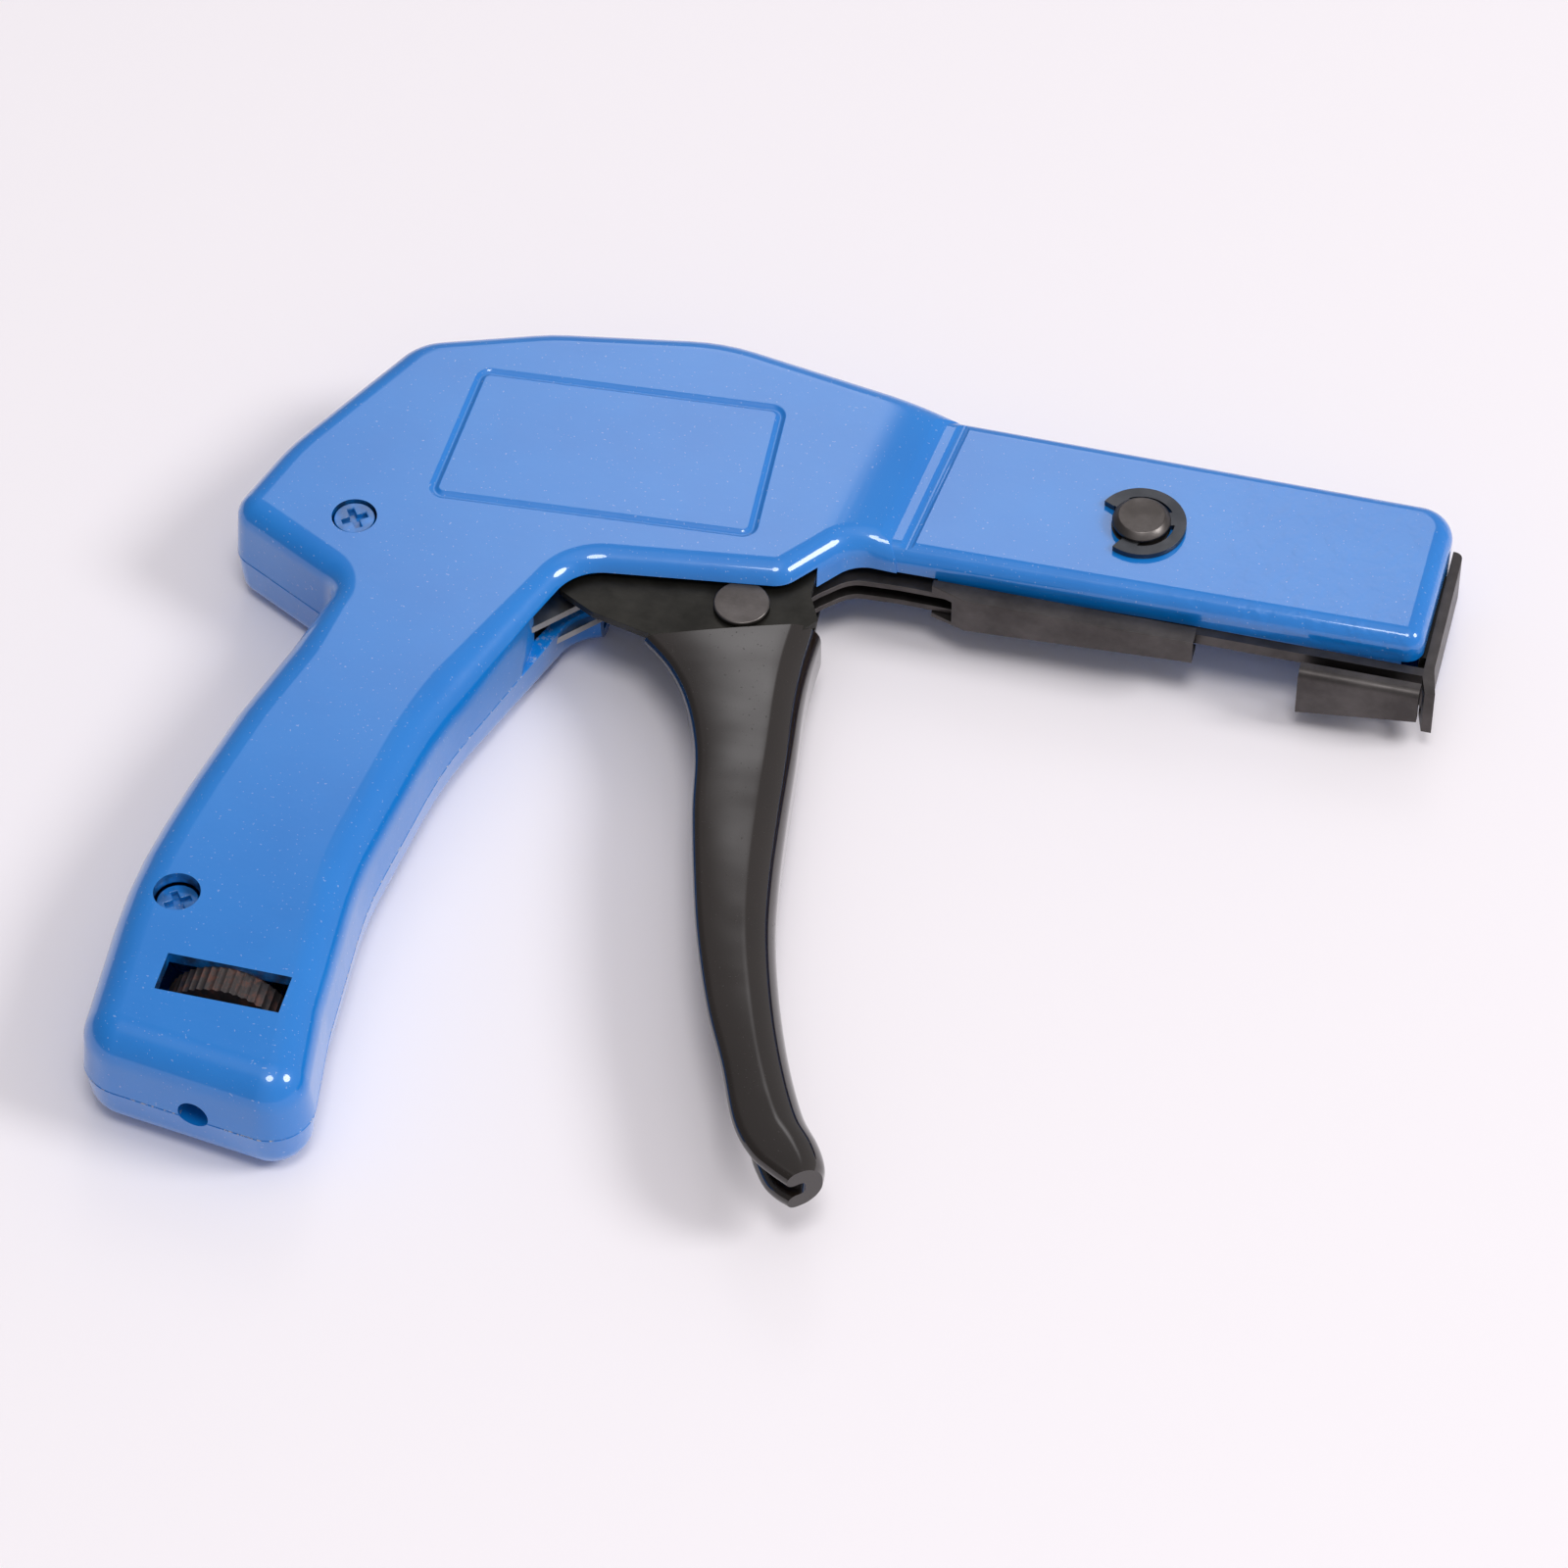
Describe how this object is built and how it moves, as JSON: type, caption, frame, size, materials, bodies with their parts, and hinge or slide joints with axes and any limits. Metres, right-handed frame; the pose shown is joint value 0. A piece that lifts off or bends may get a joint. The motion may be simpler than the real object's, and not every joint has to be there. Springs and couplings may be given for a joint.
{
  "type": "cable tie tensioning tool",
  "caption": "Hand tool shaped like a pistol that pulls a cable tie tight and cuts off its tail, with a swinging trigger, a sliding gripper and a tension wheel in the handle.",
  "frame": {"origin": "on the trigger's pivot axis, in the flat face of the lower shell that the tool rests on", "axes": "+X along the barrel to the nose, +Y from the handle to the top of the barrel, +Z out of the upper shell"},
  "size_m": [0.1648, 0.1444, 0.018],
  "materials": {
    "blue_paint": "gloss",
    "black_steel": "satin black oxide",
    "black_coat": "gloss dipped coat",
    "bright_steel": "bare",
    "rusty_steel": "dark and rusty"
  },
  "bodies": {
    "housing": {"housing_upper": "blue_paint", "housing_lower": "blue_paint", "shell_screws": "blue_paint", "locating_dowels": "bright_steel", "trigger_pivot_pin": "bright_steel", "nose_frame": "black_steel", "tie_guide": "black_steel", "cutoff_pivot_pin": "black_steel", "retaining_clip": "black_steel", "lever_washers": "bright_steel", "spring_stop": "bright_steel"},
    "trigger": {"trigger_lever": "black_steel", "trigger_grip": "black_coat", "trigger_bush": "bright_steel", "trigger_spring": "bright_steel", "link_rivet": "black_steel", "link_spacers": "bright_steel"},
    "link": {"pull_link": "black_steel"},
    "carriage": {"gripper_carriage": "black_steel", "gripper_slide": "black_steel", "carriage_pin": "bright_steel", "pawl_pin": "bright_steel", "pawl_spring": "bright_steel"},
    "pawl": {"gripper_pawl": "bright_steel"},
    "lever": {"cutoff_lever": "black_steel", "strip_pin_upper": "bright_steel"},
    "strips": {"tension_strips": "bright_steel"},
    "rod": {"tension_rod": "bright_steel", "strip_pin_lower": "bright_steel", "spring_seat": "bright_steel", "tension_spring": "bright_steel"},
    "wheel": {"adjuster_wheel": "rusty_steel"},
    "blade": {"cutter_blade": "bright_steel"}
  },
  "joints": [
    {"name": "trigger_swing", "type": "hinge", "parent": "housing", "child": "trigger", "pos_m": [0, 0, 0.0088], "axis": [0, 0, -1], "range_deg": [0, 28], "stiffness_Nm_per_rad": 0.4},
    {"name": "link_swing", "type": "hinge", "parent": "trigger", "child": "link", "pos_m": [0, -0.0184, 0.0088], "axis": [0, 0, 1], "range_deg": [0, 24]},
    {"name": "carriage_slide", "type": "slide", "parent": "housing", "child": "carriage", "axis": [-1, 0, 0], "range_m": [0, 0.0077]},
    {"name": "pawl_swing", "type": "hinge", "parent": "carriage", "child": "pawl", "pos_m": [0.0501, -0.0017, 0.0088], "axis": [0, 0, -1], "range_deg": [0, 2.5], "stiffness_Nm_per_rad": 0.01},
    {"name": "cutoff_swing", "type": "hinge", "parent": "housing", "child": "lever", "pos_m": [0.0494, 0.0078, 0.0088], "axis": [0, 0, -1], "range_deg": [0, 2.5], "stiffness_Nm_per_rad": 5},
    {"name": "strip_swing", "type": "hinge", "parent": "lever", "child": "strips", "pos_m": [-0.011, -0.005, 0.0088], "axis": [0, 0, 1], "range_deg": [0, 3.5]},
    {"name": "rod_slide", "type": "slide", "parent": "housing", "child": "rod", "axis": [0, 1, 0], "range_m": [0, 0.0022]},
    {"name": "wheel_spin", "type": "hinge", "parent": "housing", "child": "wheel", "pos_m": [-0.04778, -0.0992, 0.0088], "axis": [0, 1, 0], "continuous": true},
    {"name": "blade_slide", "type": "slide", "parent": "housing", "child": "blade", "axis": [0, -1, 0], "range_m": [0, 0.00176]}
  ],
  "couplings": [
    {"joint": "link_swing", "follows": "trigger_swing", "ratio": 0.843},
    {"joint": "carriage_slide", "follows": "trigger_swing", "m_per_rad": 0.01549},
    {"joint": "strip_swing", "follows": "cutoff_swing", "ratio": 1.286},
    {"joint": "rod_slide", "follows": "cutoff_swing", "m_per_rad": 0.0502},
    {"joint": "blade_slide", "follows": "cutoff_swing", "m_per_rad": 0.0401}
  ]
}
